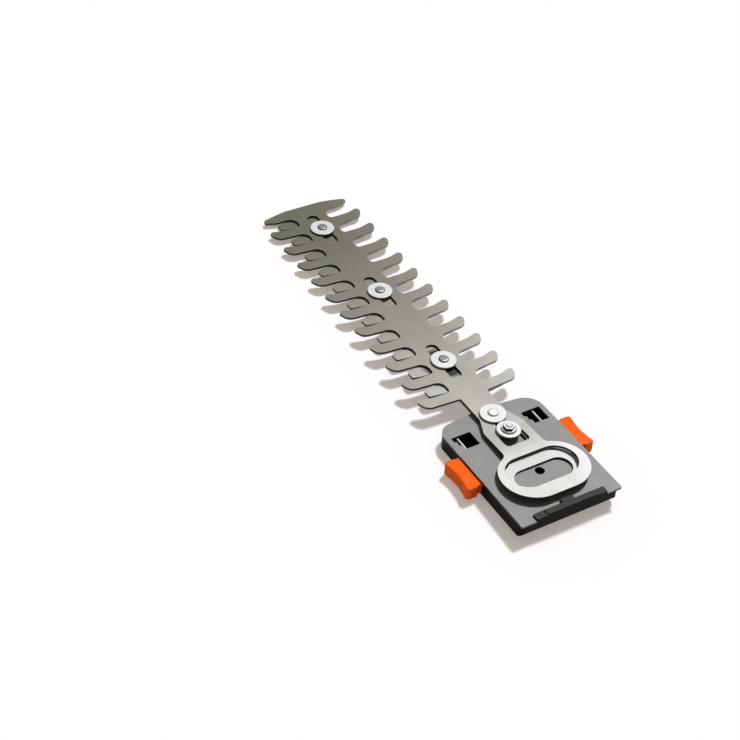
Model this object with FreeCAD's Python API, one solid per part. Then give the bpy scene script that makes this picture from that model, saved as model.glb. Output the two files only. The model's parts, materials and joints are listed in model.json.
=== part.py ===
import FreeCAD, Part
import math
import os
from FreeCAD import Vector

# Push-on shrub blade for a hand-held trimmer. Millimetres.
# +X points from the drive axis to the blade tip, +Y to the left, +Z up.
# The origin is on the drive axis, at the underside of the housing.

# Drive and travel
STROKE = 7.0                 # travel of each blade, end to end
LOWER_REST_BEHIND = 3.0      # the lower blade rests this far behind the middle of its stroke
UPPER_REST_BEHIND = 1.0      # and the upper blade this far
BLADE_PLAY = 0.05            # sliding play between stacked sheets
SLOT_PLAY = 0.2              # side play of a guide in its slot

# Blade sheets and teeth
BLADE_LENGTH = 227.6         # from the drive axis to the tip
BLADE_THICKNESS = 1.25
TEETH = 11                   # fingers on each side, besides the crescent at the tip
NECK_FRONT = 55.3            # where the last finger's rear edge meets the neck
SPINE_HALF = 8.9             # half the width of the upper blade between its fingers
FINGER_WIDTH = 6.2
FINGER_REACH = 28.3          # from the blade's middle to a finger's tip
FINGER_BEND = 19.5           # where a finger's front edge starts to hook forward
FINGER_HOOK = 2.6            # how far the tip hooks forward
FINGER_TIP_ROUND = 1.8
FINGER_HEEL_DROP = 3.1       # the heel of the hook lies this far inside the tip
FINGER_HEEL_LEAN = 0.6       # and this far forward of the finger's rear edge
FINGER_HEEL_ROUND = 5.0
FINGER_BEND_ROUND = 16.0
ROOT_ROUND_FRONT = 4.5       # the gap's root is round, more so under the finger in front
ROOT_ROUND_REAR = 2.0
CRESCENT_DEPTH = 7.0         # from the first gap to the tip, along the middle
CRESCENT_REACH = 28.4        # from the blade's middle to the crescent's ends
CRESCENT_SWEEP = 4.2         # how far the tip's front edge falls back at its ends
CRESCENT_END_ROUND = 1.8
CRESCENT_HEEL_ROUND = 6.0

# The lower blade's shorter teeth: those on the left stand half a pitch forward
LOWER_SPINE_HALF = 7.4
LOWER_REACH = 19.2
LOWER_TOOTH_WIDTH = 6.9
LOWER_TOOTH_LEAD = 1.0       # ahead of the front edge of the finger above
LOWER_TOOTH_TAPER = 1.8      # how much narrower the tooth is at its tip
LOWER_TOOTH_SPREAD = 1.2     # how much wider it is at its root
LOWER_TIP_ROUND = 1.4
LOWER_ROOT_ROUND = 2.0
LOWER_NOSE = 10.6            # the lower blade ends this far ahead of the first finger

# Neck and yokes
NECK_HALF = 7.5
YOKE_NECK_HALF = 11.0
FLARE_FRONT = 38.5
FLARE_LENGTH = 8.5
FLARE_ROUND = 5.0
NECK_ROOT_ROUND = 1.2
LOWER_NECK_INSET = 0.3       # the lower neck is hidden under the upper one
UPPER_CAM = 20.2             # drive slot, along X
UPPER_CAM_SPAN = 36.7        # drive slot, along Y
UPPER_RING_SIDE = 4.0        # metal beside the drive slot
UPPER_RING_REAR = 7.7        # metal behind it
UPPER_RING_FRONT = 3.7       # metal in front of it, where the neck joins
LOWER_CAM = 12.3
LOWER_CAM_SPAN = 30.0
LOWER_RING_SIDE = 5.0
YOKE_SHOULDER_ROUND = 3.5
YOKE_RISE = 2.5              # degrees; the upper yoke is bent up behind the front guide
YOKE_WINDOW_REAR = 17.0
YOKE_WINDOW_LENGTH = 8.5
YOKE_WINDOW_WIDTH = 13.2
YOKE_WINDOW_ROUND = 2.0
LOWER_WINDOW_INSET = 0.8     # the lower window is smaller all round

# Blade rivets and their washers
RIVET_SHANK = 6.0
RIVET_STUB = 4.2
RIVET_FOOT = 10.0
RIVET_FOOT_HEIGHT = 1.0
RIVET_HEAD = 5.2
RIVET_HEAD_HEIGHT = 0.8
RIVET_HEAD_RIM = 0.3         # upright part of the head's edge
RIVET_HEAD_FLAT = 3.4        # flat top of the head
RIVET_HEAD_STEPS = 4
TIP_RIVET_SETBACK = 7.5      # behind the first finger's front edge
ROOT_RIVET_LEAD = 20.5       # ahead of the last finger's front edge
RIVET_SLOT_SPARE_REAR = 5.5  # slot left behind the rivet at the end of its travel
RIVET_SLOT_SPARE_FRONT = 1.4
WASHER_DIAMETER = 13.0
WASHER_THICKNESS = 1.2
WASHER_EDGE = 0.25
FIT = 0.05                   # radial clearance of a pin in a fixed hole

# Guides on the base
REAR_GUIDE_X = 26.0
WASHER_GAP = 0.6             # between the two guide washers
GUIDE_BUSH = 5.6
REAR_WASHER_DIAMETER = 11.8
FRONT_RIVET_SHANK = 3.5
FRONT_RIVET_FOOT = 7.0
FRONT_RIVET_FOOT_HEIGHT = 1.2
SCREW_SHANK = 3.0
SCREW_HEAD = 5.8
SCREW_HEAD_HEIGHT = 1.8
SCREW_SLOT_WIDTH = 0.9
SCREW_SLOT_DEPTH = 0.9
SCREW_END = 0.35             # screw showing above the nut
NUT_ACROSS_FLATS = 5.0
NUT_HEIGHT = 2.2
NUT_CHAMFER = 0.4
NUT_FLANGE = 7.6
NUT_FLANGE_HEIGHT = 0.8
FOOT_RECESS = 0.3            # guide feet sit this far above the underside

# Cover plate
PLATE_FRONT_MARGIN = 0.7     # ahead of the front guide's washer
PLATE_WIDTH = 54.8
PLATE_THICKNESS = 1.1
PLATE_BOW = 2.0              # the front edge falls back this far at its ends
PLATE_FRONT_ROUND = 10.0
PLATE_REAR_ROUND = 0.8
PILOT_HOLE = 4.7
WINDOW_REAR = 27.3
WINDOW_LENGTH = 9.0
WINDOW_MARGIN = 2.6          # from the plate's side to the window
WINDOW_SPAN = 10.4
WINDOW_ROUND = 0.3
WINDOW_STEP = 1.1            # the left edge of each window comes in by two steps, towards the rear
NOTCH_CLEARANCE = 0.15

# Housing
SEAT_HEIGHT = 7.4            # the plate lies on the walls at this height
FLOOR = 1.8
WALL = 2.0
PLATE_OVERHANG = 0.2         # the plate stands out past the walls
HOUSING_REAR_ROUND = 4.5     # corners seen from above
HOUSING_REAR_SWEEP = 4.5     # rear bottom edge
HOUSING_FRONT_SWEEP = 5.5    # front bottom edge
HOUSING_SIDE_SWEEP = 0.9     # side bottom edges
LEDGE_CLEARANCE = 0.7        # between the ledge and the upper blade, fully back
LEDGE_MARGIN = 8.15          # from the plate's side to the ledge's end
LEDGE_DEPTH = 3.8
LEDGE_STEP = 5.25            # from the ledge's end to its raised centre
LEDGE_RISE = 1.8             # centre of the ledge, above the plate
LEDGE_END_RISE = 1.0         # its lower ends
LEDGE_CHAMFER = 0.9
TAB_HALF = 3.3
TAB_REACH = 2.0
TAB_CLEARANCE = 0.15         # under the upper blade
BOSS_DIAMETER = 10.0

# Release buttons
BUTTON_REAR = 5.2
BUTTON_LENGTH = 20.5
BUTTON_PROUD = 8.5           # from the plate's side to the ends of the outer face
BUTTON_DISH = 1.6            # the outer face is hollow for a finger
BUTTON_TOP_GAP = 0.15        # below the plate
BUTTON_SKIRT_BOTTOM = 0.6    # the outer block reaches lower than the floor inside
BUTTON_PLAY = 0.1
BUTTON_CORNER = 1.7
BUTTON_EDGE = 0.7
BUTTON_TRAVEL = 2.5
FLANGE_LENGTH = 1.6          # the inner flange is longer than the button at each end
FLANGE_THICKNESS = 2.0

# Latch spring
WIRE = 1.2
WIRE_INSET = 4.0             # from the tray's inner wall to the middle of each leg
WIRE_HEIGHT = 6.65
WIRE_BRIDGE_GAP = 8.0        # from the ledge to the bridge
WIRE_OVERRUN = 2.2           # the legs end this far past the windows
WIRE_BEND = 5.0
SADDLE_LENGTH = 3.0
SADDLE_THICKNESS = 2.0
SADDLE_SPACING = 18.0
SADDLE_LIP = 0.3
SHELF_LENGTH = 2.0

# Limits of the drawing
FULL_SIDE = 0.998            # share of a side that the roundings at its ends may take
TOUCH = 0.001                # edges nearer than this are taken as the same place

# Places that follow from the sizes
SIDES = (1, -1)
HALF_STROKE = STROKE / 2
LOWER_BACK = HALF_STROKE - LOWER_REST_BEHIND
LOWER_AHEAD = HALF_STROKE + LOWER_REST_BEHIND
UPPER_BACK = HALF_STROKE - UPPER_REST_BEHIND
UPPER_AHEAD = HALF_STROKE + UPPER_REST_BEHIND
PITCH = (BLADE_LENGTH - NECK_FRONT - FINGER_HEEL_LEAN / 2 - CRESCENT_DEPTH) / TEETH
GAP = PITCH - FINGER_WIDTH
LAST_FINGER = NECK_FRONT + FINGER_WIDTH + FINGER_HEEL_LEAN / 2
FIRST_FINGER = LAST_FINGER + PITCH * (TEETH - 1)
FINGERS = [FIRST_FINGER - PITCH * k for k in range(TEETH)]
RIVETS = {
    "tip": FIRST_FINGER - TIP_RIVET_SETBACK,
    "middle": (FIRST_FINGER - TIP_RIVET_SETBACK + LAST_FINGER + ROOT_RIVET_LEAD) / 2,
    "root": LAST_FINGER + ROOT_RIVET_LEAD,
}
FRONT_GUIDE_X = REAR_GUIDE_X + (REAR_WASHER_DIAMETER + WASHER_DIAMETER) / 2 + WASHER_GAP
UPPER_REAR = -UPPER_REST_BEHIND - UPPER_CAM / 2 - UPPER_RING_REAR
LEDGE_FRONT = UPPER_REAR - UPPER_BACK - LEDGE_CLEARANCE
PLATE_REAR = LEDGE_FRONT - LEDGE_DEPTH
PLATE_FRONT = FRONT_GUIDE_X + WASHER_DIAMETER / 2 + PLATE_FRONT_MARGIN
PLATE_HALF = PLATE_WIDTH / 2
LEDGE_HALF = PLATE_HALF - LEDGE_MARGIN
WINDOW_FRONT = WINDOW_REAR + WINDOW_LENGTH
WINDOW_OUTER = PLATE_HALF - WINDOW_MARGIN
PLATE_TOP = SEAT_HEIGHT + PLATE_THICKNESS
LOWER_Z = PLATE_TOP + BLADE_PLAY
UPPER_Z = LOWER_Z + BLADE_THICKNESS + BLADE_PLAY
WASHER_Z = UPPER_Z + BLADE_THICKNESS + BLADE_PLAY
WASHER_TOP = WASHER_Z + WASHER_THICKNESS
RISE_START = FRONT_GUIDE_X - WASHER_DIAMETER / 2
YOKE_BEND_X = RISE_START - UPPER_AHEAD
RISE_SLOPE = math.tan(math.radians(YOKE_RISE))
YOKE_LIFT = (YOKE_BEND_X - UPPER_REAR) * RISE_SLOPE
REAR_WASHER_Z = WASHER_Z + (RISE_START - REAR_GUIDE_X + REAR_WASHER_DIAMETER / 2) * RISE_SLOPE
REAR_WASHER_TOP = REAR_WASHER_Z + WASHER_THICKNESS
HOUSING_HALF = PLATE_HALF - PLATE_OVERHANG
HOUSING_REAR = PLATE_REAR + PLATE_OVERHANG
HOUSING_FRONT = PLATE_FRONT - PLATE_OVERHANG
INNER_HALF = HOUSING_HALF - WALL
WIRE_SPREAD = INNER_HALF - WIRE_INSET
WIRE_BRIDGE_X = LEDGE_FRONT + WIRE_BRIDGE_GAP
WIRE_END_X = WINDOW_FRONT + WIRE_OVERRUN
BUTTON_REACH = PLATE_HALF + BUTTON_PROUD
BUTTON_FRONT = BUTTON_REAR + BUTTON_LENGTH
STEM_REAR = BUTTON_REAR + BUTTON_EDGE
STEM_FRONT = BUTTON_FRONT - BUTTON_EDGE
BUTTON_BOTTOM = FLOOR + BUTTON_PLAY
BUTTON_TOP = SEAT_HEIGHT - BUTTON_TOP_GAP
FLANGE_OUTER = INNER_HALF - BUTTON_PLAY
ARM_FACE = WIRE_SPREAD + WIRE / 2 + BUTTON_PLAY
BLOCK_FACE = HOUSING_HALF + BUTTON_TRAVEL + 2 * BUTTON_PLAY


def outline(corners):
    """Closed wire through corners (x, y, radius); a radius is limited by the sides beside it."""
    points = [Vector(x, y, 0) for x, y, r in corners]
    count = len(points)
    ahead = [(points[(i + 1) % count] - points[i]) for i in range(count)]
    lengths = [step.Length for step in ahead]
    ahead = [step / length for step, length in zip(ahead, lengths)]
    half_turns = [ahead[i - 1].getAngle(ahead[i]) / 2 for i in range(count)]
    cuts = [corners[i][2] * math.tan(half_turns[i]) for i in range(count)]
    for i in range(count):
        j = (i + 1) % count
        limit = FULL_SIDE * lengths[i]
        if cuts[i] + cuts[j] > limit:
            share = limit / (cuts[i] + cuts[j])
            cuts[i] *= share
            cuts[j] *= share
    edges = []
    starts = [points[i] - ahead[i - 1] * cuts[i] for i in range(count)]
    ends = [points[i] + ahead[i] * cuts[i] for i in range(count)]
    for i in range(count):
        if cuts[i] > TOUCH:
            radius = cuts[i] / math.tan(half_turns[i])
            inward = (ahead[i] - ahead[i - 1]).normalize()
            middle = points[i] + inward * (radius / math.cos(half_turns[i]) - radius)
            edges.append(Part.Arc(starts[i], middle, ends[i]).toShape())
        edges.append(Part.LineSegment(ends[i], starts[(i + 1) % count]).toShape())
    return Part.Wire(edges)


def prism(corners, bottom, top):
    """Upright solid between two heights with the given outline."""
    solid = Part.Face(outline(corners)).extrude(Vector(0, 0, top - bottom))
    solid.translate(Vector(0, 0, bottom))
    return solid


def rounded_box(x0, x1, y0, y1, bottom, top, radius):
    """Upright block with rounded vertical corners."""
    return prism([(x0, y0, radius), (x1, y0, radius), (x1, y1, radius), (x0, y1, radius)], bottom, top)


def box(x0, x1, y0, y1, bottom, top):
    """Plain block between two corners."""
    return Part.makeBox(x1 - x0, y1 - y0, top - bottom, Vector(x0, y0, bottom))


def cylinder(x, y, diameter, bottom, top):
    """Upright cylinder between two heights."""
    return Part.makeCylinder(diameter / 2, top - bottom, Vector(x, y, bottom))


def turned(x, profile):
    """Solid of revolution about the upright axis at x, from (radius, height) points."""
    wire = Part.makePolygon([Vector(r, 0, z) for r, z in profile + profile[:1]])
    solid = Part.Face(wire).revolve(Vector(0, 0, 0), Vector(0, 0, 1), 360)
    solid.translate(Vector(x, 0, 0))
    return solid


def mirrored(side_corners):
    """Closes one side's corners, listed from front to rear, with their mirror image."""
    right = [(x, -y, r) for x, y, r in side_corners]
    return side_corners + right[::-1]


def neck_corners(half, yoke_half):
    """Corners of one side from the last tooth back to the middle of the yoke."""
    return [
        (NECK_FRONT, half, NECK_ROOT_ROUND),
        (FLARE_FRONT, half, FLARE_ROUND),
        (FLARE_FRONT - FLARE_LENGTH, yoke_half, FLARE_ROUND),
        (0, yoke_half, 0),
    ]


def upper_comb_side():
    """Corners of the upper blade's left edge, from the tip crescent to the yoke."""
    heel_reach = FINGER_REACH - FINGER_HEEL_DROP
    crescent_rear = FIRST_FINGER + GAP - FINGER_HEEL_LEAN
    end_x = BLADE_LENGTH - CRESCENT_SWEEP
    corners = [
        (end_x, CRESCENT_REACH, CRESCENT_END_ROUND),
        (crescent_rear, FINGER_BEND, CRESCENT_HEEL_ROUND),
    ]
    for front in FINGERS:
        rear = front - FINGER_WIDTH
        corners += [
            (front + GAP - FINGER_HEEL_LEAN, SPINE_HALF, ROOT_ROUND_FRONT),
            (front, SPINE_HALF, ROOT_ROUND_REAR),
            (front, FINGER_BEND, FINGER_BEND_ROUND),
            (front + FINGER_HOOK, FINGER_REACH, FINGER_TIP_ROUND),
            (rear + FINGER_HEEL_LEAN, heel_reach, FINGER_HEEL_ROUND),
        ]
    return corners + neck_corners(NECK_HALF, YOKE_NECK_HALF)


def lower_comb_side(stagger):
    """Corners of one edge of the lower blade, as a left edge, with its teeth moved forward."""
    nose = FIRST_FINGER + LOWER_NOSE
    corners = [(nose, LOWER_SPINE_HALF - LOWER_ROOT_ROUND, LOWER_ROOT_ROUND)]
    for finger in FINGERS:
        front = finger + LOWER_TOOTH_LEAD + stagger
        rear = front - LOWER_TOOTH_WIDTH
        corners += [
            (front + LOWER_TOOTH_SPREAD / 2, LOWER_SPINE_HALF, LOWER_ROOT_ROUND),
            (front - LOWER_TOOTH_TAPER / 2, LOWER_REACH, LOWER_TIP_ROUND),
            (rear + LOWER_TOOTH_TAPER / 2, LOWER_REACH, LOWER_TIP_ROUND),
            (rear - LOWER_TOOTH_SPREAD / 2, LOWER_SPINE_HALF, LOWER_ROOT_ROUND),
        ]
    return corners + neck_corners(NECK_HALF - LOWER_NECK_INSET, YOKE_NECK_HALF - LOWER_NECK_INSET)


def stadium(x0, x1, half_span, bottom, top):
    """Upright solid with an outline long in Y and fully round at both ends."""
    return rounded_box(x0, x1, -half_span, half_span, bottom, top, (x1 - x0) / 2)


def soften_shoulders(blade, half):
    """Rounds the inner corners where the yoke ring meets the neck."""
    corners = []
    ring_end = FLARE_FRONT - FLARE_LENGTH - FLARE_ROUND
    for edge in blade.Edges:
        middle = edge.CenterOfMass
        upright = abs(edge.tangentAt(edge.FirstParameter).z) > 1 - TOUCH
        beside_neck = abs(abs(middle.y) - half) < TOUCH
        if upright and beside_neck and 0 < middle.x < ring_end:
            corners.append(edge)
    return blade.makeFillet(YOKE_SHOULDER_ROUND, corners)


def yoke_window(reach_rear, reach_front, inset, bottom, top):
    """Cutter for a blade's guide slot and the wide window at its rear end."""
    slot_half = GUIDE_BUSH / 2 + SLOT_PLAY
    slot = rounded_box(REAR_GUIDE_X - reach_rear - slot_half, FRONT_GUIDE_X + reach_front + slot_half,
                       -slot_half, slot_half, bottom, top, slot_half)
    rear = YOKE_WINDOW_REAR + inset
    half = YOKE_WINDOW_WIDTH / 2 - inset
    window = rounded_box(rear, rear + YOKE_WINDOW_LENGTH - 2 * inset, -half, half,
                         bottom, top, YOKE_WINDOW_ROUND)
    return slot.fuse(window)


def bent_sheet():
    """The upper blade's sheet before its outline is cut: level, then rising behind the bend."""
    reach = 2 * CRESCENT_REACH
    top = UPPER_Z + BLADE_THICKNESS
    side_view = [
        (YOKE_BEND_X, UPPER_Z), (BLADE_LENGTH, UPPER_Z), (BLADE_LENGTH, top), (YOKE_BEND_X, top),
        (UPPER_REAR, top + YOKE_LIFT), (UPPER_REAR, UPPER_Z + YOKE_LIFT),
    ]
    corners = [Vector(x, -reach, z) for x, z in side_view + side_view[:1]]
    return Part.Face(Part.makePolygon(corners)).extrude(Vector(0, 2 * reach, 0))


def make_upper_blade():
    """Upper blade: hooked fingers, slots for the blade rivets, and the large raised yoke."""
    top = UPPER_Z + BLADE_THICKNESS + YOKE_LIFT
    side = upper_comb_side()
    sweep = CRESCENT_SWEEP
    crest_round = CRESCENT_REACH ** 2 / (2 * sweep)
    blade = prism(mirrored([(BLADE_LENGTH + sweep, 0, crest_round)] + side)[:-1], UPPER_Z, top)
    cam_half = UPPER_CAM / 2
    span_half = UPPER_CAM_SPAN / 2
    middle = -UPPER_REST_BEHIND
    ring = stadium(UPPER_REAR, middle + cam_half + UPPER_RING_FRONT,
                   span_half + UPPER_RING_SIDE, UPPER_Z, top)
    blade = soften_shoulders(blade.fuse(ring).removeSplitter(), YOKE_NECK_HALF)
    blade = blade.cut(stadium(middle - cam_half, middle + cam_half, span_half, UPPER_Z, top))
    blade = blade.cut(yoke_window(UPPER_AHEAD, UPPER_BACK, 0, UPPER_Z, top))
    slot_half = RIVET_SHANK / 2 + SLOT_PLAY
    for x in RIVETS.values():
        rear = x - LOWER_BACK - UPPER_AHEAD - slot_half - RIVET_SLOT_SPARE_REAR
        front = x + LOWER_AHEAD + UPPER_BACK + slot_half + RIVET_SLOT_SPARE_FRONT
        blade = blade.cut(rounded_box(rear, front, -slot_half, slot_half, UPPER_Z, top, slot_half))
    return blade.common(bent_sheet()).removeSplitter()


def make_lower_blade():
    """Lower blade: shorter teeth, half a pitch apart left from right, and the small yoke."""
    top = LOWER_Z + BLADE_THICKNESS
    left = lower_comb_side(PITCH / 2)
    right = [(x, -y, r) for x, y, r in lower_comb_side(0)]
    blade = prism(left + right[::-1], LOWER_Z, top)
    cam_half = LOWER_CAM / 2
    span_half = LOWER_CAM_SPAN / 2
    middle = -LOWER_REST_BEHIND
    outer = cam_half + LOWER_RING_SIDE
    ring = stadium(middle - outer, middle + outer, span_half + LOWER_RING_SIDE, LOWER_Z, top)
    blade = soften_shoulders(blade.fuse(ring).removeSplitter(), YOKE_NECK_HALF - LOWER_NECK_INSET)
    blade = blade.cut(stadium(middle - cam_half, middle + cam_half, span_half, LOWER_Z, top))
    blade = blade.cut(yoke_window(LOWER_AHEAD, LOWER_BACK, LOWER_WINDOW_INSET, LOWER_Z, top))
    for x in RIVETS.values():
        blade = blade.cut(cylinder(x, 0, RIVET_SHANK + 2 * FIT, LOWER_Z, top))
    return blade


def make_washer(x, diameter, bore, bottom):
    """Flat washer on top of the blades, its rims broken."""
    outer = diameter / 2
    inner = bore / 2 + FIT
    top = bottom + WASHER_THICKNESS
    return turned(x, [
        (inner, bottom), (outer - WASHER_EDGE, bottom), (outer, bottom + WASHER_EDGE),
        (outer, top - WASHER_EDGE), (outer - WASHER_EDGE, top), (inner, top),
    ])


def peened_head(diameter, stub):
    """Profile points of a peened rivet head above a washer, from its rim to the axis."""
    rim = diameter / 2
    flat = RIVET_HEAD_FLAT / 2
    dome = RIVET_HEAD_HEIGHT - RIVET_HEAD_RIM
    points = [(stub / 2, WASHER_TOP), (rim, WASHER_TOP)]
    for step in range(RIVET_HEAD_STEPS + 1):
        turn = math.pi / 2 * step / RIVET_HEAD_STEPS
        height = WASHER_TOP + RIVET_HEAD_RIM + dome * math.sin(turn)
        points.append((flat + (rim - flat) * math.cos(turn), height))
    return points + [(0, WASHER_TOP + RIVET_HEAD_HEIGHT)]


def make_blade_rivet(x):
    """Shouldered rivet: foot under the lower blade, shank in the slot, stub through the washer."""
    foot_bottom = LOWER_Z - RIVET_FOOT_HEIGHT
    return turned(x, [
        (0, foot_bottom), (RIVET_FOOT / 2 - WASHER_EDGE, foot_bottom),
        (RIVET_FOOT / 2, foot_bottom + WASHER_EDGE), (RIVET_FOOT / 2, LOWER_Z),
        (RIVET_SHANK / 2, LOWER_Z), (RIVET_SHANK / 2, WASHER_Z), (RIVET_STUB / 2, WASHER_Z),
    ] + peened_head(RIVET_HEAD, RIVET_STUB))


def make_guide_bush(x, bore, top):
    """Sleeve that keeps the washer off the blades and runs in both guide slots."""
    outer = GUIDE_BUSH / 2
    inner = bore / 2 + FIT
    return turned(x, [(inner, PLATE_TOP), (outer, PLATE_TOP), (outer, top), (inner, top)])


def make_front_rivet():
    """Rivet through housing, plate, bush and washer."""
    foot_top = FOOT_RECESS + FRONT_RIVET_FOOT_HEIGHT
    return turned(FRONT_GUIDE_X, [
        (0, FOOT_RECESS), (FRONT_RIVET_FOOT / 2, FOOT_RECESS), (FRONT_RIVET_FOOT / 2, foot_top),
        (FRONT_RIVET_SHANK / 2, foot_top),
    ] + peened_head(RIVET_HEAD, FRONT_RIVET_SHANK))


def make_rear_screw():
    """Slotted screw through housing, plate, bush, washer and nut."""
    head_top = FOOT_RECESS + SCREW_HEAD_HEIGHT
    end = REAR_WASHER_TOP + NUT_HEIGHT + SCREW_END
    screw = turned(REAR_GUIDE_X, [
        (0, FOOT_RECESS), (SCREW_HEAD / 2, FOOT_RECESS), (SCREW_HEAD / 2, head_top),
        (SCREW_SHANK / 2, head_top), (SCREW_SHANK / 2, end - NUT_CHAMFER),
        (SCREW_SHANK / 2 - NUT_CHAMFER, end), (0, end),
    ])
    half = SCREW_SLOT_WIDTH / 2
    return screw.cut(box(REAR_GUIDE_X - SCREW_HEAD, REAR_GUIDE_X + SCREW_HEAD, -half, half,
                         FOOT_RECESS, FOOT_RECESS + SCREW_SLOT_DEPTH))


def make_rear_nut():
    """Hexagon nut on a round flange, its upper corners turned off."""
    corner = NUT_ACROSS_FLATS / 2 / math.cos(math.pi / 6)
    turns = [math.pi / 3 * k for k in range(6)]
    hexagon = [(REAR_GUIDE_X + corner * math.cos(t), corner * math.sin(t), 0) for t in turns]
    bottom = REAR_WASHER_TOP
    top = bottom + NUT_HEIGHT
    bore = SCREW_SHANK / 2 + FIT
    cone = turned(REAR_GUIDE_X, [
        (bore, bottom), (corner, bottom), (corner, top - NUT_CHAMFER), (corner - NUT_CHAMFER, top),
        (bore, top),
    ])
    rim = NUT_FLANGE / 2
    flange_top = bottom + NUT_FLANGE_HEIGHT
    flange = turned(REAR_GUIDE_X, [
        (bore, bottom), (rim, bottom), (rim, flange_top - NUT_CHAMFER), (rim - NUT_CHAMFER, flange_top),
        (bore, flange_top),
    ])
    return prism(hexagon, bottom, top).common(cone).fuse(flange).removeSplitter()


def base_corners(inset, rear_round):
    """Corners of the base seen from above, drawn in from the plate's edge."""
    half = PLATE_HALF - inset
    front = PLATE_FRONT - inset
    bow_round = PLATE_HALF ** 2 / (2 * PLATE_BOW)
    front_round = max(PLATE_FRONT_ROUND - inset, PLATE_REAR_ROUND)
    left = [(front - PLATE_BOW, half, front_round), (PLATE_REAR + inset, half, rear_round)]
    crest = [(front + PLATE_BOW, 0, bow_round)]
    return crest + left + [(x, -y, r) for x, y, r in left[::-1]]


def latch_window(side):
    """Cutter for one latch window, its left edge stepped."""
    low, high = sorted((side * (WINDOW_OUTER - WINDOW_SPAN), side * WINDOW_OUTER))
    third = WINDOW_LENGTH / 3
    places = [
        (WINDOW_REAR, low), (WINDOW_FRONT, low), (WINDOW_FRONT, high),
        (WINDOW_FRONT - third, high), (WINDOW_FRONT - third, high - WINDOW_STEP),
        (WINDOW_REAR + third, high - WINDOW_STEP), (WINDOW_REAR + third, high - 2 * WINDOW_STEP),
        (WINDOW_REAR, high - 2 * WINDOW_STEP),
    ]
    return prism([(x, y, WINDOW_ROUND) for x, y in places], SEAT_HEIGHT, PLATE_TOP)


def make_cover_plate():
    """Sheet plate with latch windows, pilot hole, guide holes and a notch for the ledge."""
    plate = prism(base_corners(0, PLATE_REAR_ROUND), SEAT_HEIGHT, PLATE_TOP)
    notch = LEDGE_HALF + NOTCH_CLEARANCE
    notch_front = LEDGE_FRONT + NOTCH_CLEARANCE
    plate = plate.cut(box(PLATE_REAR, notch_front, -notch, notch, SEAT_HEIGHT, PLATE_TOP))
    for side in SIDES:
        plate = plate.cut(latch_window(side))
    holes = (
        (0, PILOT_HOLE),
        (REAR_GUIDE_X, SCREW_SHANK + 2 * FIT),
        (FRONT_GUIDE_X, FRONT_RIVET_SHANK + 2 * FIT),
    )
    for x, diameter in holes:
        plate = plate.cut(cylinder(x, 0, diameter, SEAT_HEIGHT, PLATE_TOP))
    return plate


def tray_shell():
    """Outside of the tray: its plan, with the bottom edges swept up at rear, front and sides."""
    plan = prism(base_corners(PLATE_OVERHANG, HOUSING_REAR_ROUND), 0, SEAT_HEIGHT)
    reach = PLATE_WIDTH
    side_view = outline([(HOUSING_REAR, 0, HOUSING_REAR_SWEEP), (HOUSING_FRONT, 0, HOUSING_FRONT_SWEEP),
                         (HOUSING_FRONT, SEAT_HEIGHT, 0), (HOUSING_REAR, SEAT_HEIGHT, 0)])
    side_solid = Part.Face(side_view).extrude(Vector(0, 0, reach))
    side_solid.rotate(Vector(0, 0, 0), Vector(1, 0, 0), 90)
    side_solid.translate(Vector(0, reach / 2, 0))
    end_view = outline([(-HOUSING_HALF, 0, HOUSING_SIDE_SWEEP), (HOUSING_HALF, 0, HOUSING_SIDE_SWEEP),
                        (HOUSING_HALF, SEAT_HEIGHT, 0), (-HOUSING_HALF, SEAT_HEIGHT, 0)])
    end_solid = Part.Face(end_view).extrude(Vector(0, 0, HOUSING_FRONT - HOUSING_REAR))
    end_solid.rotate(Vector(0, 0, 0), Vector(1, 1, 1), 120)
    end_solid.translate(Vector(HOUSING_REAR, 0, 0))
    return plan.common(side_solid).common(end_solid)


def tray_cavity():
    """Space inside the tray, behind the front wall and ahead of the ledge's wall."""
    cavity = prism(base_corners(PLATE_OVERHANG + WALL, PLATE_REAR_ROUND), FLOOR, SEAT_HEIGHT)
    return cavity.cut(box(PLATE_REAR, LEDGE_FRONT, -PLATE_HALF, PLATE_HALF, FLOOR, SEAT_HEIGHT))


def rear_ledge():
    """Raised bar behind the plate, with lower ends and a tab that holds the plate's rear edge."""
    rear = HOUSING_REAR
    ends = rounded_box(rear, LEDGE_FRONT, -LEDGE_HALF, LEDGE_HALF,
                       SEAT_HEIGHT, PLATE_TOP + LEDGE_END_RISE, LEDGE_CHAMFER / 2)
    half = LEDGE_HALF - LEDGE_STEP
    top = PLATE_TOP + LEDGE_RISE
    centre = box(rear, LEDGE_FRONT, -half, half, SEAT_HEIGHT, top)
    upper_edges = [edge for edge in centre.Edges if abs(edge.CenterOfMass.z - top) < TOUCH]
    top_edges = [edge for edge in upper_edges if edge.CenterOfMass.x > rear + TOUCH]
    centre = centre.makeChamfer(LEDGE_CHAMFER, top_edges)
    tab = box(LEDGE_FRONT - LEDGE_DEPTH / 2, LEDGE_FRONT + TAB_REACH, -TAB_HALF, TAB_HALF,
              PLATE_TOP, UPPER_Z - TAB_CLEARANCE)
    return ends.fuse(centre).fuse(tab)


def wire_saddle(y):
    """Post on the tray's floor with a groove that holds the spring's bridge."""
    x = WIRE_BRIDGE_X
    y0 = y - SADDLE_THICKNESS / 2
    y1 = y + SADDLE_THICKNESS / 2
    top = WIRE_HEIGHT + SADDLE_LIP
    post = box(x - SADDLE_LENGTH / 2, x + SADDLE_LENGTH / 2, y0, y1, FLOOR, top)
    half = WIRE / 2 + FIT
    groove = Part.makeCylinder(half, SADDLE_THICKNESS, Vector(x, y0, WIRE_HEIGHT), Vector(0, 1, 0))
    mouth = box(x - half, x + half, y0, y1, WIRE_HEIGHT, top)
    return post.cut(groove).cut(mouth)


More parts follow.
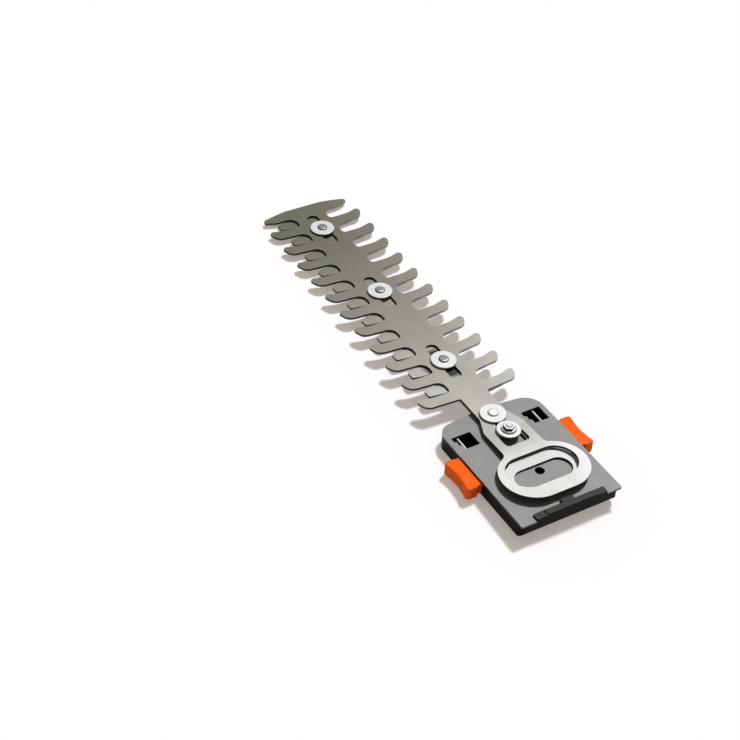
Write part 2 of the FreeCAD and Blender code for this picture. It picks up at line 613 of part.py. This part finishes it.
def leg_shelf(side):
    """Block that the free end of one spring leg rests and slides on."""
    outer = WIRE_SPREAD + WIRE
    inner = WIRE_SPREAD - BUTTON_TRAVEL - WIRE
    y0, y1 = sorted((side * inner, side * outer))
    return box(WIRE_END_X - SHELF_LENGTH, WIRE_END_X, y0, y1, FLOOR, WIRE_HEIGHT - WIRE / 2)


def make_housing():
    """Moulded tray: walls, floor, guide bosses, spring supports, button openings and ledge."""
    housing = tray_shell().cut(tray_cavity())
    for x in (REAR_GUIDE_X, FRONT_GUIDE_X):
        housing = housing.fuse(cylinder(x, 0, BOSS_DIAMETER, FLOOR, SEAT_HEIGHT).common(tray_shell()))
    housing = housing.fuse(rear_ledge())
    for side in SIDES:
        housing = housing.fuse(wire_saddle(side * SADDLE_SPACING / 2)).fuse(leg_shelf(side))
        y0, y1 = sorted((side * (INNER_HALF - FIT), side * PLATE_HALF))
        housing = housing.cut(box(STEM_REAR - BUTTON_PLAY, STEM_FRONT + BUTTON_PLAY, y0, y1,
                                  FLOOR, SEAT_HEIGHT))
    guides = (
        (REAR_GUIDE_X, SCREW_SHANK, SCREW_HEAD, SCREW_HEAD_HEIGHT),
        (FRONT_GUIDE_X, FRONT_RIVET_SHANK, FRONT_RIVET_FOOT, FRONT_RIVET_FOOT_HEIGHT),
    )
    for x, shank, foot, foot_height in guides:
        housing = housing.cut(cylinder(x, 0, shank + 2 * FIT, 0, SEAT_HEIGHT))
        housing = housing.cut(cylinder(x, 0, foot + 2 * FIT, 0, FOOT_RECESS + foot_height))
    return housing.removeSplitter()


def make_latch_spring():
    """U of spring wire: a bridge across the rear and two legs that run under the windows."""
    y = WIRE_SPREAD
    z = WIRE_HEIGHT
    bend = WIRE_BEND
    rear = WIRE_BRIDGE_X
    short = bend * (1 - math.cos(math.pi / 4))
    left_end = Vector(WIRE_END_X, y, z)
    right_end = Vector(WIRE_END_X, -y, z)
    left_leg = Vector(rear + bend, y, z)
    right_leg = Vector(rear + bend, -y, z)
    left_bridge = Vector(rear, y - bend, z)
    right_bridge = Vector(rear, bend - y, z)
    path = Part.Wire([
        Part.LineSegment(left_end, left_leg).toShape(),
        Part.Arc(left_leg, Vector(rear + short, y - short, z), left_bridge).toShape(),
        Part.LineSegment(left_bridge, right_bridge).toShape(),
        Part.Arc(right_bridge, Vector(rear + short, short - y, z), right_leg).toShape(),
        Part.LineSegment(right_leg, right_end).toShape(),
    ])
    section = Part.Wire([Part.makeCircle(WIRE / 2, left_end, Vector(1, 0, 0))])
    return path.makePipeShell([section], True, False)


def make_button(side):
    """Release button: dished outer block, a flange behind the wall and an arm to the spring."""
    dish_round = ((BUTTON_LENGTH / 2) ** 2 + BUTTON_DISH ** 2) / (2 * BUTTON_DISH)
    middle = (BUTTON_REAR + BUTTON_FRONT) / 2
    block = box(BUTTON_REAR, BUTTON_FRONT, BLOCK_FACE, BUTTON_REACH, BUTTON_SKIRT_BOTTOM, BUTTON_TOP)
    dish_centre = BUTTON_REACH - BUTTON_DISH + dish_round
    block = block.cut(cylinder(middle, dish_centre, 2 * dish_round, BUTTON_SKIRT_BOTTOM, BUTTON_TOP))
    corners = [edge for edge in block.Edges if abs(edge.CenterOfMass.y - BUTTON_REACH) < TOUCH]
    block = block.makeFillet(BUTTON_CORNER, corners)
    levels = (BUTTON_SKIRT_BOTTOM, BUTTON_TOP)
    rims = [edge for edge in block.Edges
            if min(abs(edge.CenterOfMass.z - level) for level in levels) < TOUCH]
    block = block.makeFillet(BUTTON_EDGE, rims)
    stem = box(STEM_REAR, STEM_FRONT, ARM_FACE, BLOCK_FACE + BUTTON_EDGE, BUTTON_BOTTOM, BUTTON_TOP)
    block = block.fuse(stem)
    flange = box(BUTTON_REAR - FLANGE_LENGTH, BUTTON_FRONT + FLANGE_LENGTH,
                 FLANGE_OUTER - FLANGE_THICKNESS, FLANGE_OUTER, BUTTON_BOTTOM, BUTTON_TOP)
    button = block.fuse(flange).removeSplitter()
    if side < 0:
        button = button.mirror(Vector(0, 0, 0), Vector(0, 1, 0))
    return button


nodes = {
    "housing": make_housing(),
    "cover_plate": make_cover_plate(),
    "latch_spring": make_latch_spring(),
    "front_guide_rivet": make_front_rivet(),
    "front_guide_bush": make_guide_bush(FRONT_GUIDE_X, FRONT_RIVET_SHANK, WASHER_Z),
    "front_guide_washer": make_washer(FRONT_GUIDE_X, WASHER_DIAMETER, FRONT_RIVET_SHANK, WASHER_Z),
    "rear_guide_screw": make_rear_screw(),
    "rear_guide_bush": make_guide_bush(REAR_GUIDE_X, SCREW_SHANK, REAR_WASHER_Z),
    "rear_guide_washer": make_washer(REAR_GUIDE_X, REAR_WASHER_DIAMETER, SCREW_SHANK, REAR_WASHER_Z),
    "rear_guide_nut": make_rear_nut(),
    "upper_blade": make_upper_blade(),
    "lower_blade": make_lower_blade(),
    "left_button": make_button(1),
    "right_button": make_button(-1),
}
for place, x in RIVETS.items():
    nodes["blade_rivet_" + place] = make_blade_rivet(x)
    nodes["blade_washer_" + place] = make_washer(x, WASHER_DIAMETER, RIVET_STUB, WASHER_Z)

os.makedirs("parts", exist_ok=True)
for name, shape in nodes.items():
    solid = shape.Solids[0] if len(shape.Solids) == 1 else shape
    solid.exportStep("parts/" + name + ".step")
    print(name, len(shape.Solids), shape.isValid(), round(shape.Volume, 2))
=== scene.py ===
import json
import math

import bpy
from mathutils import Matrix, Vector


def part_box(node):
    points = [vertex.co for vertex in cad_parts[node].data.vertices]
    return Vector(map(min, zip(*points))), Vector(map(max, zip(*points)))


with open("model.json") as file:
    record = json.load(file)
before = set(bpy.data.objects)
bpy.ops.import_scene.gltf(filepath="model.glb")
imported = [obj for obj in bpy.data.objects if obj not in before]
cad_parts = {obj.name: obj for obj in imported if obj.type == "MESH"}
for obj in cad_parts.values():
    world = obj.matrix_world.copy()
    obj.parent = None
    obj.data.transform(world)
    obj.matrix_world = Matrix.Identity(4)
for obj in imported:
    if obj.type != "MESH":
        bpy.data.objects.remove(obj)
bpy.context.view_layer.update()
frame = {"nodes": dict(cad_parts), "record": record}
nodes = frame["nodes"]
scene = bpy.context.scene
MM = 0.001

# Camera
CAMERA_TARGET = Vector((0.09267, 0.03544, 0.0111))
CAMERA_DISTANCE = 0.74307
CAMERA_AZIMUTH = math.radians(32.944)
CAMERA_ELEVATION = math.radians(40.659)
CAMERA_ROLL = math.radians(4.095)
CAMERA_LENS = 75.05
CAMERA_SENSOR = 36.0
CAMERA_CLIP = 10 * MM

# Light
KEY_FROM = Vector((0.19, -0.46, 1.0))
KEY_STRENGTH = 3.05
KEY_ANGLE = math.radians(9.0)
KEY_COLOUR = (0.935, 0.95, 1.0)
SKY_COLOUR = (1.0, 0.89, 0.8)
SKY_STRENGTH = 0.28

# Floor: it touches the front of the tray and the foot of the tip rivet
TRAY_FRONT_SWEEP = 5.5 * MM
FLOOR_SIZE = 8.0
FLOOR_COLOUR = (0.68, 0.68, 0.69)
FLOOR_ROUGH = 0.85
FLOOR_GLOSS = 0.1
BACKGROUND_COLOUR = (1.0, 0.91, 0.84)
BACKGROUND_GLOW = 0.3

# Broken edges of the CAD pieces, in millimetres
EDGES = {
    "upper_blade": 0.14,
    "lower_blade": 0.14,
    "cover_plate": 0.18,
    "housing": 0.35,
    "left_button": 0.15,
    "right_button": 0.15,
    "rear_guide_nut": 0.12,
    "rear_guide_screw": 0.12,
}
EDGE_DEFAULT = 0.1
EDGE_ANGLE = math.radians(28)
EDGE_SEGMENTS = 3
WELD_DISTANCE = 0.001 * MM

# A face's normal in Z: upright as far as the first value, level from the second
LEVEL = (0.35, 0.75)
LEVEL_BELOW = (-0.35, -0.75)

# Noise: the parts of its range that are spread over a whole tint or finish
WIDE = (0.3, 0.7)
MEDIUM = (0.35, 0.65)
NARROW = (0.4, 0.6)
NOISE_ROUGHNESS = 0.55

# Ranges that a value is mapped to
RISING = (0.0, 1.0)
FALLING = (1.0, 0.0)

# Share of the fine grain in a steel's tone; blotches or stains make up the rest
FINE_SHARE = 0.3

# Tint of each blade by its place in X: olive where the teeth are hardened, and bright at the yoke,
# which is partly a painted highlight
UPPER_TINT_AND_HIGHLIGHT = (
    (-20 * MM, (0.63, 0.63, 0.61)),
    (8 * MM, (0.6, 0.6, 0.58)),
    (20 * MM, (0.43, 0.432, 0.4)),
    (32 * MM, (0.385, 0.39, 0.355)),
    (62 * MM, (0.338, 0.338, 0.3)),
    (120 * MM, (0.25, 0.241, 0.206)),
    (185 * MM, (0.156, 0.153, 0.121)),
    (228 * MM, (0.13, 0.131, 0.095)),
)
LOWER_TINT_AND_HIGHLIGHT = (
    (-20 * MM, (0.54, 0.54, 0.53)),
    (24 * MM, (0.53, 0.53, 0.52)),
    (50 * MM, (0.45, 0.447, 0.418)),
    (120 * MM, (0.31, 0.302, 0.265)),
    (185 * MM, (0.18, 0.177, 0.143)),
    (228 * MM, (0.14, 0.141, 0.105)),
)

# Blade steel: the yoke and the comb differ in finish, and meet between these places in X
BLADE_METALLIC = 0.4
YOKE_TO_COMB = (5 * MM, 40 * MM)
UPPER_YOKE_ROUGH = 0.55
LOWER_YOKE_ROUGH = 0.45
COMB_ROUGH = 0.5

# Rolled grain of the blades, in features per metre by axis, and blotches over it
ROLLED_GRAIN = (90, 2600, 2600)
GRAIN_BUMP = 0.05
GRAIN_DEPTH = 0.03 * MM
BLOTCH_SCALE = 38
BLOTCH_STRETCH = (1, 1.5, 1.5)
BLADE_LIGHTNESS = (0.86, 1.12)
BLADE_ROUGHNESS_CHANGE = (0.04, -0.04)

# Patches of two casts on the flats, and a painted sheen: fingers painted paler and cooler between two
# places in Y, on the right towards the key
CAST_SCALE = 18
OLIVE_CAST = (0.985, 1.0, 0.955)
BROWN_CAST = (1.015, 0.985, 0.965)
NO_CAST = (1.0, 1.0, 1.0)
PAINTED_SHEEN_CAST = (1.2, 1.2, 1.27)
PAINTED_SHEEN_PLACES = (-6 * MM, -26 * MM)

# Cut edges: painted dark as shade in the slots and on the left, and painted bright past these places in
# Y on the right, a painted reflection of the floor
SHADED_CUT_YOKE = (0.025, 0.0245, 0.0225)
SHADED_CUT_COMB = (0.055, 0.052, 0.046)
FLOOR_REFLECTION_CUT = (0.34, 0.33, 0.305)
FLOOR_REFLECTION_PLACES = (-6 * MM, -9 * MM)
CUT_ROUGHER = 0.15

# Painted shade under the yokes, and a painted shadow round the root rivet
YOKE_UNDERSIDE_SHADE = (0.05, 0.048, 0.044)
ROOT_RIVET_SHADOW = (0.02, 0.019, 0.017)
ROOT_RIVET_SHADOW_REACH = 9.5 * MM
ROOT_RIVET_SHADOW_FADE = 12.5 * MM

# Plated steel: two tones of the face, and upright sides painted darker, a painted shade
PLATED_STEEL = {
    "zinc_steel": {
        "light": (0.67, 0.675, 0.66),
        "dark": (0.59, 0.595, 0.58),
        "shaded_side": (0.14, 0.14, 0.13),
        "rough": 0.5,
        "metallic": 0.45,
    },
    "rivet_steel": {
        "light": (0.29, 0.295, 0.29),
        "dark": (0.21, 0.215, 0.21),
        "shaded_side": (0.12, 0.12, 0.115),
        "rough": 0.45,
        "metallic": 0.9,
    },
    "fastener_steel": {
        "light": (0.64, 0.645, 0.64),
        "dark": (0.54, 0.545, 0.54),
        "shaded_side": (0.03, 0.03, 0.03),
        "rough": 0.4,
        "metallic": 0.9,
    },
    "plate_steel": {
        "light": (0.228, 0.227, 0.214),
        "dark": (0.206, 0.205, 0.193),
        "shaded_side": (0.05, 0.05, 0.048),
        "rough": 0.54,
        "metallic": 0.4,
    },
    "spring_steel": {
        "light": (0.95, 0.95, 0.94),
        "dark": (0.86, 0.86, 0.85),
        "rough": 0.38,
        "metallic": 0.8,
    },
}
FINE_SCALE = 2800
FINE_BUMP = 0.1
FINE_DEPTH = 0.02 * MM
STAIN_SCALE = 180
PLATED_ROUGHER = 0.04
PLATED_SMOOTHER = 0.03

# Moulded plastic: two tones, gloss, and the grain of the mould
MOULDED_PLASTIC = {
    "black_plastic": {
        "light": (0.006, 0.0066, 0.007),
        "dark": (0.0045, 0.005, 0.0054),
        # Painted sheen colour for the upper outer faces
        "painted_sheen": (0.052, 0.0575, 0.055),
        "rough": 0.46,
        "gloss": 0.05,
        "skin_scale": 2600,
        "skin_depth": 0.03 * MM,
    },
    "orange_plastic": {
        "light": (0.92, 0.124, 0.004),
        "dark": (0.86, 0.113, 0.0035),
        "rough": 0.46,
        "gloss": 0.1,
        "skin_scale": 1900,
        "skin_depth": 0.012 * MM,
    },
}
SKIN_BUMP = 0.35
DRIFT_SCALE = 70
SKIN_SMOOTHER = 0.06
SKIN_ROUGHER = 0.08

# Height at which the inside of the tray ends and its outer upper faces, painted lighter as a painted
# sheen, begin
TRAY_RIM = (5 * MM, 7 * MM)


class Shade:
    """One node material, built from named textures in the object's own coordinates."""

    def __init__(self, name):
        self.material = bpy.data.materials.new(name)
        self.material.use_nodes = True
        self.tree = self.material.node_tree
        self.shader = self.tree.nodes["Principled BSDF"]
        self.coordinates = self.add("ShaderNodeTexCoord").outputs["Object"]

    def add(self, kind):
        """A new node of the material."""
        return self.tree.nodes.new(kind)

    def put(self, value, socket):
        """Gives a socket a link, a colour or a number."""
        if isinstance(value, bpy.types.NodeSocket):
            self.tree.links.new(value, socket)
        elif isinstance(value, tuple):
            socket.default_value = (*value, 1.0)
        else:
            socket.default_value = value

    def set(self, **values):
        """Links, colours or numbers on the shader's own sockets."""
        for key, value in values.items():
            self.put(value, self.shader.inputs[key.replace("_", " ")])

    def along(self, axis):
        """The object's own coordinate along one axis, in metres."""
        split = self.add("ShaderNodeSeparateXYZ")
        self.put(self.coordinates, split.inputs["Vector"])
        return split.outputs[axis]

    def span(self, value, source, target=RISING):
        """Maps one range of a value to another, held at its ends."""
        node = self.add("ShaderNodeMapRange")
        node.inputs["From Min"].default_value = source[0]
        node.inputs["From Max"].default_value = source[1]
        node.inputs["To Min"].default_value = target[0]
        node.inputs["To Max"].default_value = target[1]
        self.put(value, node.inputs["Value"])
        return node.outputs["Result"]

    def ramp(self, value, stops):
        """Colours along a value, from (place, colour) stops."""
        first = stops[0][0]
        last = stops[-1][0]
        node = self.add("ShaderNodeValToRGB")
        band = node.color_ramp.elements
        while len(band) < len(stops):
            band.new(1.0)
        for element, (place, colour) in zip(band, stops):
            element.position = (place - first) / (last - first)
            element.color = (*colour, 1.0)
        self.put(self.span(value, (first, last)), node.inputs["Fac"])
        return node.outputs["Color"]

    def mix(self, factor, first, second, blend="MIX"):
        """Mixes two colours; either may be a socket."""
        node = self.add("ShaderNodeMix")
        node.data_type = "RGBA"
        node.blend_type = blend
        self.put(factor, node.inputs["Factor"])
        self.put(first, node.inputs["A"])
        self.put(second, node.inputs["B"])
        return node.outputs["Result"]

    def times(self, colour, factor):
        """A colour multiplied by another colour or by a value."""
        return self.mix(1.0, colour, factor, "MULTIPLY")

    def math(self, operation, first, second=0.0):
        """Reckons with two values; either may be a socket."""
        node = self.add("ShaderNodeMath")
        node.operation = operation
        self.put(first, node.inputs[0])
        self.put(second, node.inputs[1])
        return node.outputs["Value"]

    def noise(self, scale, stretch=(1, 1, 1), detail=4.0):
        """Noise at so many features per metre, stretched by axis."""
        mapping = self.add("ShaderNodeMapping")
        mapping.inputs["Scale"].default_value = stretch
        self.put(self.coordinates, mapping.inputs["Vector"])
        texture = self.add("ShaderNodeTexNoise")
        texture.inputs["Scale"].default_value = scale
        texture.inputs["Detail"].default_value = detail
        texture.inputs["Roughness"].default_value = NOISE_ROUGHNESS
        self.put(mapping.outputs["Vector"], texture.inputs["Vector"])
        return texture.outputs["Fac"]

    def tone(self, fine, coarse):
        """Fine grain and coarse blotches as one value."""
        grain = self.math("MULTIPLY", fine, FINE_SHARE)
        return self.math("ADD", grain, self.math("MULTIPLY", coarse, 1.0 - FINE_SHARE))

    def facing_up(self):
        """1 on faces that look up, 0 on upright faces, -1 on faces that look down."""
        geometry = self.add("ShaderNodeNewGeometry")
        split = self.add("ShaderNodeSeparateXYZ")
        self.put(geometry.outputs["Normal"], split.inputs["Vector"])
        return split.outputs["Z"]

    def upper_faces(self):
        """1 on level faces that look up, 0 on the others."""
        return self.span(self.facing_up(), LEVEL)

    def cut_edges(self):
        """1 on upright faces, 0 on the flats of a sheet."""
        return self.span(self.math("ABSOLUTE", self.facing_up()), LEVEL, FALLING)

    def spot(self, centre, full, end):
        """1 round a point on the upper face, fading to 0 outwards."""
        node = self.add("ShaderNodeVectorMath")
        node.operation = "DISTANCE"
        node.inputs[1].default_value = centre
        self.put(self.coordinates, node.inputs[0])
        near = self.span(node.outputs["Value"], (full, end), FALLING)
        return self.math("MULTIPLY", near, self.upper_faces())

    def bump(self, height, strength, distance):
        """Relief on the whole surface, from a value."""
        node = self.add("ShaderNodeBump")
        node.inputs["Strength"].default_value = strength
        node.inputs["Distance"].default_value = distance
        self.put(height, node.inputs["Height"])
        self.put(node.outputs["Normal"], self.shader.inputs["Normal"])


def blade_steel(name, tint_and_highlight_stops, yoke_rough, root_shadow_at=None):
    """Rolled blade steel: hardening tint along the blade, partly a painted highlight towards the yoke,
    long grain, faint blotches, and painted sheen, shade, shadow and reflection.
    """
    shade = Shade(name)
    place = shade.along("X")
    across = shade.along("Y")
    comb = shade.span(place, YOKE_TO_COMB)
    cut = shade.cut_edges()
    grain = shade.noise(1.0, ROLLED_GRAIN, detail=3.0)
    tone = shade.tone(grain, shade.noise(BLOTCH_SCALE, BLOTCH_STRETCH))

    # Flats
    patches = shade.span(shade.noise(CAST_SCALE, detail=2.0), NARROW)
    cast = shade.mix(patches, OLIVE_CAST, BROWN_CAST)
    # Painted sheen: fingers painted paler and cooler on the right, where the key falls
    pale = shade.mix(shade.span(across, PAINTED_SHEEN_PLACES), NO_CAST, PAINTED_SHEEN_CAST)
    # The tint ramp brightens towards the yoke, partly as a painted highlight
    tint = shade.times(shade.times(shade.ramp(place, tint_and_highlight_stops), cast), pale)
    flat = shade.times(tint, shade.span(tone, WIDE, BLADE_LIGHTNESS))
    # Painted shade: faces that look down under the yokes are painted dark
    below = shade.span(shade.facing_up(), LEVEL_BELOW)
    shaded_underside = shade.math("MULTIPLY", below, shade.math("SUBTRACT", 1.0, comb))
    flat = shade.mix(shaded_underside, flat, YOKE_UNDERSIDE_SHADE)
    # Painted shadow: the lower blade is painted dark round the root rivet, under the slot
    if root_shadow_at is not None:
        flat = shade.mix(shade.spot(root_shadow_at, ROOT_RIVET_SHADOW_REACH, ROOT_RIVET_SHADOW_FADE), flat, ROOT_RIVET_SHADOW)

    # Cut edges: painted dark as shade, and painted bright on the right as a reflection of the floor
    floor_reflection = shade.span(across, FLOOR_REFLECTION_PLACES)
    edge = shade.mix(comb, SHADED_CUT_YOKE, shade.mix(floor_reflection, SHADED_CUT_COMB, FLOOR_REFLECTION_CUT))

    # Roughness
    finish = shade.span(place, YOKE_TO_COMB, (yoke_rough, COMB_ROUGH))
    rough = shade.math("ADD", shade.span(tone, WIDE, BLADE_ROUGHNESS_CHANGE), finish)
    rough = shade.math("ADD", rough, shade.math("MULTIPLY", cut, CUT_ROUGHER))

    shade.set(Base_Color=shade.mix(cut, flat, edge), Metallic=BLADE_METALLIC, Roughness=rough)
    shade.bump(grain, GRAIN_BUMP, GRAIN_DEPTH)
    return shade.material


def plated_steel(name, light, dark, rough, metallic, shaded_side=None):
    """Plated small steel parts: fine even grain, a little staining, and upright sides painted darker as
    painted shade.
    """
    shade = Shade(name)
    fine = shade.noise(FINE_SCALE, detail=3.0)
    tone = shade.tone(fine, shade.noise(STAIN_SCALE))
    face = shade.mix(shade.span(tone, MEDIUM), dark, light)
    # Painted shade: upright sides are painted darker
    if shaded_side:
        face = shade.mix(shade.cut_edges(), face, shaded_side)
    finish = shade.span(tone, WIDE, (rough + PLATED_ROUGHER, rough - PLATED_SMOOTHER))
    shade.set(Base_Color=face, Metallic=metallic, Roughness=finish)
    shade.bump(fine, FINE_BUMP, FINE_DEPTH)
    return shade.material


def moulded_plastic(name, light, dark, rough, gloss, skin_scale, skin_depth, painted_sheen=None):
    """Moulded plastic with a fine spark-eroded skin; its upper outer faces may be painted lighter grey,
    a painted sheen.
    """
    shade = Shade(name)
    skin = shade.noise(skin_scale, detail=2.0)
    drift = shade.noise(DRIFT_SCALE, detail=3.0)
    face = shade.mix(shade.span(drift, MEDIUM), dark, light)
    # Painted sheen: faces that look up above the tray rim are painted lighter
    if painted_sheen:
        outside = shade.span(shade.along("Z"), TRAY_RIM)
        face = shade.mix(shade.math("MULTIPLY", outside, shade.upper_faces()), face, painted_sheen)
    finish = shade.span(skin, WIDE, (rough - SKIN_SMOOTHER, rough + SKIN_ROUGHER))
    shade.set(Base_Color=face, Roughness=finish, Specular_IOR_Level=gloss)
    shade.bump(skin, SKIN_BUMP, skin_depth)
    return shade.material


def dress(node, material):
    """Gives a CAD node its material and breaks its sharp edges."""
    piece = nodes[node]
    for slot in piece.material_slots:
        slot.material = material
    weld = piece.modifiers.new("weld", "WELD")
    weld.merge_threshold = WELD_DISTANCE
    bevel = piece.modifiers.new("edges", "BEVEL")
    bevel.width = EDGES.get(node, EDGE_DEFAULT) * MM
    bevel.segments = EDGE_SEGMENTS
    bevel.limit_method = "ANGLE"
    bevel.angle_limit = EDGE_ANGLE
    bevel.use_clamp_overlap = True
    bevel.face_strength_mode = "FSTR_AFFECTED"
    smooth = piece.modifiers.new("flats", "WEIGHTED_NORMAL")
    smooth.use_face_influence = True
    smooth.keep_sharp = True


def dress_all():
    """Dresses every CAD node by its material slot; the lower blade has a finish of its own."""
    root_low, root_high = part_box("blade_rivet_root")
    root = (root_low + root_high) / 2
    lower_steel = blade_steel("lower_blade_steel", LOWER_TINT_AND_HIGHLIGHT, LOWER_YOKE_ROUGH, root)
    materials = {"blade_steel": blade_steel("blade_steel", UPPER_TINT_AND_HIGHLIGHT, UPPER_YOKE_ROUGH)}
    for slot, finish in PLATED_STEEL.items():
        materials[slot] = plated_steel(slot, **finish)
    for slot, finish in MOULDED_PLASTIC.items():
        materials[slot] = moulded_plastic(slot, **finish)
    for part in frame["record"]["subparts"]:
        node = part["node"]
        dress(node, lower_steel if node == "lower_blade" else materials[part["material_slot"]])


def floor_white():
    """White floor that glows a little to the camera and in reflections, and is clear from below."""
    shade = Shade("floor_white")
    shade.set(Base_Color=FLOOR_COLOUR, Roughness=FLOOR_ROUGH, Specular_IOR_Level=FLOOR_GLOSS)
    path = shade.add("ShaderNodeLightPath")
    seen = shade.math("MAXIMUM", path.outputs["Is Camera Ray"], path.outputs["Is Glossy Ray"])
    seen = shade.math("MAXIMUM", seen, path.outputs["Is Transmission Ray"])
    white = shade.add("ShaderNodeEmission")
    shade.put(BACKGROUND_COLOUR, white.inputs["Color"])
    shade.put(shade.math("MULTIPLY", seen, BACKGROUND_GLOW), white.inputs["Strength"])
    lit = shade.add("ShaderNodeAddShader")
    shade.put(shade.shader.outputs["BSDF"], lit.inputs[0])
    shade.put(white.outputs["Emission"], lit.inputs[1])
    clear = shade.add("ShaderNodeBsdfTransparent")
    geometry = shade.add("ShaderNodeNewGeometry")
    either = shade.add("ShaderNodeMixShader")
    shade.put(geometry.outputs["Backfacing"], either.inputs["Fac"])
    shade.put(lit.outputs["Shader"], either.inputs[1])
    shade.put(clear.outputs["BSDF"], either.inputs[2])
    shade.put(either.outputs["Shader"], shade.tree.nodes["Material Output"].inputs["Surface"])
    return shade.material


def make_floor():
    """Pale floor under the tray's front and the tip rivet."""
    foot_low, foot_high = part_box("blade_rivet_tip")
    rest = Vector((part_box("housing")[1].x - TRAY_FRONT_SWEEP, 0, 0))
    slope = math.atan2(foot_low.z, foot_high.x - rest.x)
    half = FLOOR_SIZE / 2
    mesh = bpy.data.meshes.new("floor")
    corners = [(-half, -half, 0), (half, -half, 0), (half, half, 0), (-half, half, 0)]
    mesh.from_pydata(corners, [], [(0, 1, 2, 3)])
    mesh.update()
    mesh.materials.append(floor_white())
    floor = bpy.data.objects.new("floor", mesh)
    scene.collection.objects.link(floor)
    floor.matrix_world = Matrix.Translation(rest) @ Matrix.Rotation(-slope, 4, "Y")


def make_light():
    """A soft key from the right and an even pale sky."""
    key = bpy.data.lights.new("key", "SUN")
    key.energy = KEY_STRENGTH
    key.angle = KEY_ANGLE
    key.color = KEY_COLOUR
    lamp = bpy.data.objects.new("key", key)
    lamp.rotation_mode = "QUATERNION"
    lamp.rotation_quaternion = KEY_FROM.to_track_quat("Z", "Y")
    scene.collection.objects.link(lamp)
    world = bpy.data.worlds.new("sky")
    world.use_nodes = True
    background = world.node_tree.nodes["Background"]
    background.inputs["Color"].default_value = (*SKY_COLOUR, 1.0)
    background.inputs["Strength"].default_value = SKY_STRENGTH
    scene.world = world


def make_camera():
    """Camera at the photograph's place."""
    level = math.cos(CAMERA_ELEVATION)
    back = Vector((-math.cos(CAMERA_AZIMUTH) * level, math.sin(CAMERA_AZIMUTH) * level,
                   math.sin(CAMERA_ELEVATION)))
    right = Vector((0, 0, 1)).cross(back).normalized()
    up = back.cross(right)
    across = right * math.cos(CAMERA_ROLL) + up * math.sin(CAMERA_ROLL)
    upward = up * math.cos(CAMERA_ROLL) - right * math.sin(CAMERA_ROLL)
    lens = bpy.data.cameras.new("camera")
    lens.lens = CAMERA_LENS
    lens.sensor_width = CAMERA_SENSOR
    lens.clip_start = CAMERA_CLIP
    camera = bpy.data.objects.new("camera", lens)
    turn = Matrix((across, upward, back)).transposed().to_4x4()
    camera.matrix_world = Matrix.Translation(CAMERA_TARGET + back * CAMERA_DISTANCE) @ turn
    scene.collection.objects.link(camera)
    scene.camera = camera


dress_all()
make_floor()
make_light()
make_camera()
scene.view_settings.view_transform = "Standard"
